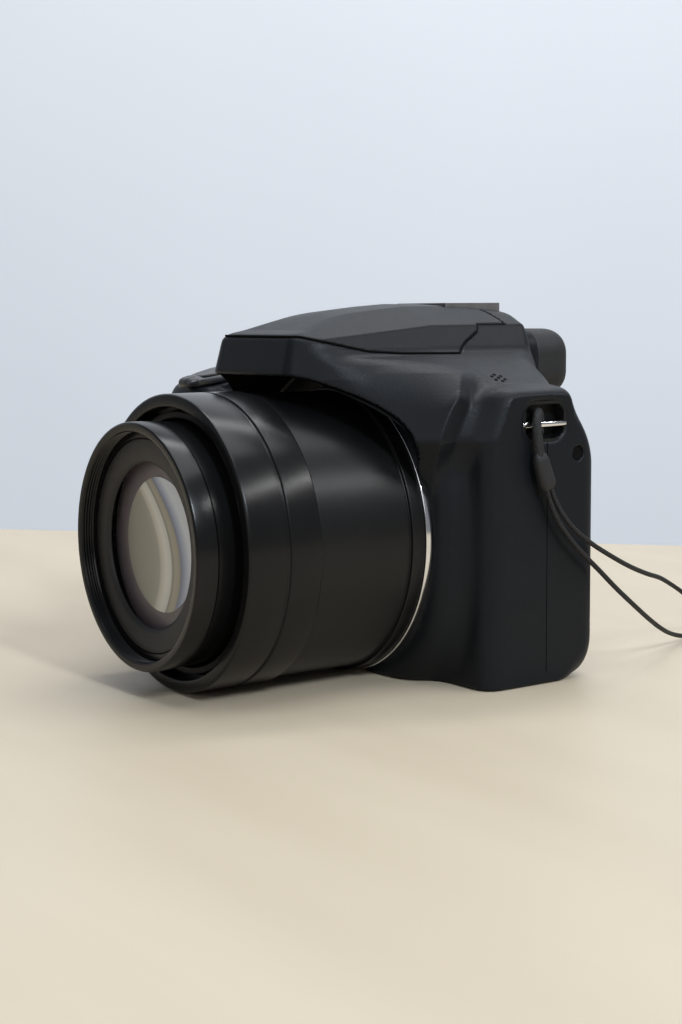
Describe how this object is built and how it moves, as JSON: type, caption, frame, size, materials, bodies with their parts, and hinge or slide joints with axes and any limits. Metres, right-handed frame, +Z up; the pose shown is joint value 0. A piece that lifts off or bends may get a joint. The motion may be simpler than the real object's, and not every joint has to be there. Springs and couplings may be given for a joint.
{
  "type": "bridge camera",
  "caption": "Compact bridge camera with a telescoping zoom lens, pop-up flash, rear display, finder, dials and a lens cap tethered by a thin cord.",
  "frame": {"origin": "mouth of the tripod socket in the base, below the lens axis", "axes": "+X to the right seen from the front, away from the grip; +Y from the lens to the eyecup; +Z up"},
  "size_m": [0.1472, 0.2496, 0.0978],
  "materials": {
    "shell": "fine grained matte black",
    "trim_black": "smooth matte black",
    "rubber": "matte black rubber",
    "lens_black": "satin black paint",
    "inner_plastic": "dark grey moulded",
    "chrome": "bright plated",
    "glass": "coated glass",
    "clear_plastic": "clear ribbed",
    "window_black": "glossy black",
    "lamp_red": "dark red clear",
    "steel": "plain steel",
    "satin_button": "satin grey paint",
    "alloy": "plain sheet",
    "board": "green board",
    "brass": "turned brass",
    "cell": "grey case",
    "cord": "braided black"
  },
  "bodies": {
    "body": {"front_cover": "shell", "rear_cover": "shell", "top_cover": "shell", "base_plate": "trim_black", "grip_pad": "rubber", "af_lamp_window": "lamp_red", "lens_barrel": "lens_black", "lens_front_ring": "lens_black", "trim_ring": "chrome", "lens_base": "inner_plastic", "image_sensor": "board", "zoom_motor": "steel", "chassis": "alloy", "electronics": "board", "tripod_socket": "brass", "battery_holder": "inner_plastic", "battery": "cell", "hinge_pins": "steel", "port_sockets": "inner_plastic", "flash_well": "trim_black", "hot_shoe": "steel", "eyecup": "rubber", "eyepiece_lens": "glass", "finder_unit": "inner_plastic", "display_window": "window_black", "display_panel": "window_black", "lug_cups": "trim_black", "lug_bars": "steel", "case_screws": "steel", "tether_cord": "cord", "cord_sleeve": "rubber", "lens_cap": "trim_black"},
    "cam": {"cam_barrel": "inner_plastic"},
    "middle": {"middle_barrel": "lens_black", "zoom_group": "inner_plastic"},
    "front": {"front_barrel": "lens_black", "name_ring": "lens_black", "front_lens": "glass"},
    "focus": {"focus_group": "inner_plastic"},
    "flash": {"flash_lid": "shell", "flash_head": "trim_black", "flash_window": "clear_plastic"},
    "door": {"battery_door": "trim_black"},
    "latch": {"battery_latch": "trim_black"},
    "ports": {"port_door": "trim_black"},
    "dioptre": {"dioptre_dial": "trim_black"},
    "mode": {"mode_dial": "trim_black"},
    "power": {"power_switch": "trim_black"},
    "shutter": {"shutter_button": "satin_button"},
    "zoom": {"zoom_lever": "trim_black"},
    "video": {"video_button": "trim_black"},
    "burst": {"burst_button": "trim_black"},
    "flash_open": {"flash_open_button": "trim_black"},
    "wheel": {"rear_dial": "trim_black"},
    "lock": {"lock_button": "trim_black"},
    "playback": {"playback_button": "trim_black"},
    "display": {"display_button": "trim_black"},
    "delete": {"delete_button": "trim_black"},
    "cursor": {"cursor_pad": "trim_black"},
    "set": {"set_button": "trim_black"}
  },
  "joints": [
    {"name": "zoom_slide", "type": "slide", "parent": "body", "child": "middle", "axis": [0, -1, 0], "range_m": [-0.005, 0.025]},
    {"name": "front_slide", "type": "slide", "parent": "middle", "child": "front", "axis": [0, -1, 0], "range_m": [-0.006, 0.03]},
    {"name": "cam_turn", "type": "hinge", "parent": "body", "child": "cam", "pos_m": [0, -0.04, 0.0378], "axis": [0, -1, 0], "range_deg": [-25.2, 125.2]},
    {"name": "focus_slide", "type": "slide", "parent": "body", "child": "focus", "axis": [0, -1, 0], "range_m": [-0.0024, 0.0024]},
    {"name": "flash_pop", "type": "hinge", "parent": "body", "child": "flash", "pos_m": [0, 0.014, 0.0912], "axis": [-1, 0, 0], "range_deg": [0, 38]},
    {"name": "shutter_press", "type": "slide", "parent": "body", "child": "shutter", "axis": [0, 0.2504, -0.9681], "range_m": [0, 0.0008], "stiffness_N_per_m": 300},
    {"name": "video_press", "type": "slide", "parent": "body", "child": "video", "axis": [0, 0, -1], "range_m": [0, 0.0008], "stiffness_N_per_m": 300},
    {"name": "burst_press", "type": "slide", "parent": "body", "child": "burst", "axis": [0, 0, -1], "range_m": [0, 0.0008], "stiffness_N_per_m": 300},
    {"name": "flash_open_press", "type": "slide", "parent": "body", "child": "flash_open", "axis": [0, 0, -1], "range_m": [0, 0.0008], "stiffness_N_per_m": 300},
    {"name": "lock_press", "type": "slide", "parent": "body", "child": "lock", "axis": [0, -1, 0], "range_m": [0, 0.0006], "stiffness_N_per_m": 300},
    {"name": "playback_press", "type": "slide", "parent": "body", "child": "playback", "axis": [0, -1, 0], "range_m": [0, 0.0006], "stiffness_N_per_m": 300},
    {"name": "display_press", "type": "slide", "parent": "body", "child": "display", "axis": [0, -1, 0], "range_m": [0, 0.0006], "stiffness_N_per_m": 300},
    {"name": "delete_press", "type": "slide", "parent": "body", "child": "delete", "axis": [0, -1, 0], "range_m": [0, 0.0006], "stiffness_N_per_m": 300},
    {"name": "cursor_press", "type": "slide", "parent": "body", "child": "cursor", "axis": [0, -1, 0], "range_m": [0, 0.0006], "stiffness_N_per_m": 300},
    {"name": "set_press", "type": "slide", "parent": "body", "child": "set", "axis": [0, -1, 0], "range_m": [0, 0.0006], "stiffness_N_per_m": 300},
    {"name": "zoom_turn", "type": "hinge", "parent": "body", "child": "zoom", "pos_m": [-0.062, -0.021, 0.0758], "axis": [0, -0.2504, 0.9681], "range_deg": [-22, 22], "stiffness_Nm_per_rad": 0.02},
    {"name": "mode_turn", "type": "hinge", "parent": "body", "child": "mode", "pos_m": [-0.0575, 0.004, 0.079], "axis": [0, 0, 1], "continuous": true},
    {"name": "wheel_turn", "type": "hinge", "parent": "body", "child": "wheel", "pos_m": [-0.07, 0.0186, 0.06], "axis": [0, 0, 1], "continuous": true},
    {"name": "dioptre_turn", "type": "hinge", "parent": "body", "child": "dioptre", "pos_m": [-0.019, 0.0306, 0.082], "axis": [1, 0, 0], "range_deg": [-120, 120]},
    {"name": "power_slide", "type": "slide", "parent": "body", "child": "power", "axis": [0, 1, 0], "range_m": [0, 0.004]},
    {"name": "door_swing", "type": "hinge", "parent": "body", "child": "door", "pos_m": [-0.0504, -0.0025, 0.0012], "axis": [0, -1, 0], "range_deg": [0, 95]},
    {"name": "latch_slide", "type": "slide", "parent": "door", "child": "latch", "axis": [1, 0, 0], "range_m": [0, 0.0025]},
    {"name": "port_swing", "type": "hinge", "parent": "body", "child": "ports", "pos_m": [-0.0792, 0.0182, 0.037], "axis": [0, 0, -1], "range_deg": [0, 100]}
  ],
  "couplings": [
    {"joint": "front_slide", "follows": "zoom_slide", "ratio": 1.2},
    {"joint": "cam_turn", "follows": "zoom_slide", "rad_per_m": 87.27}
  ]
}
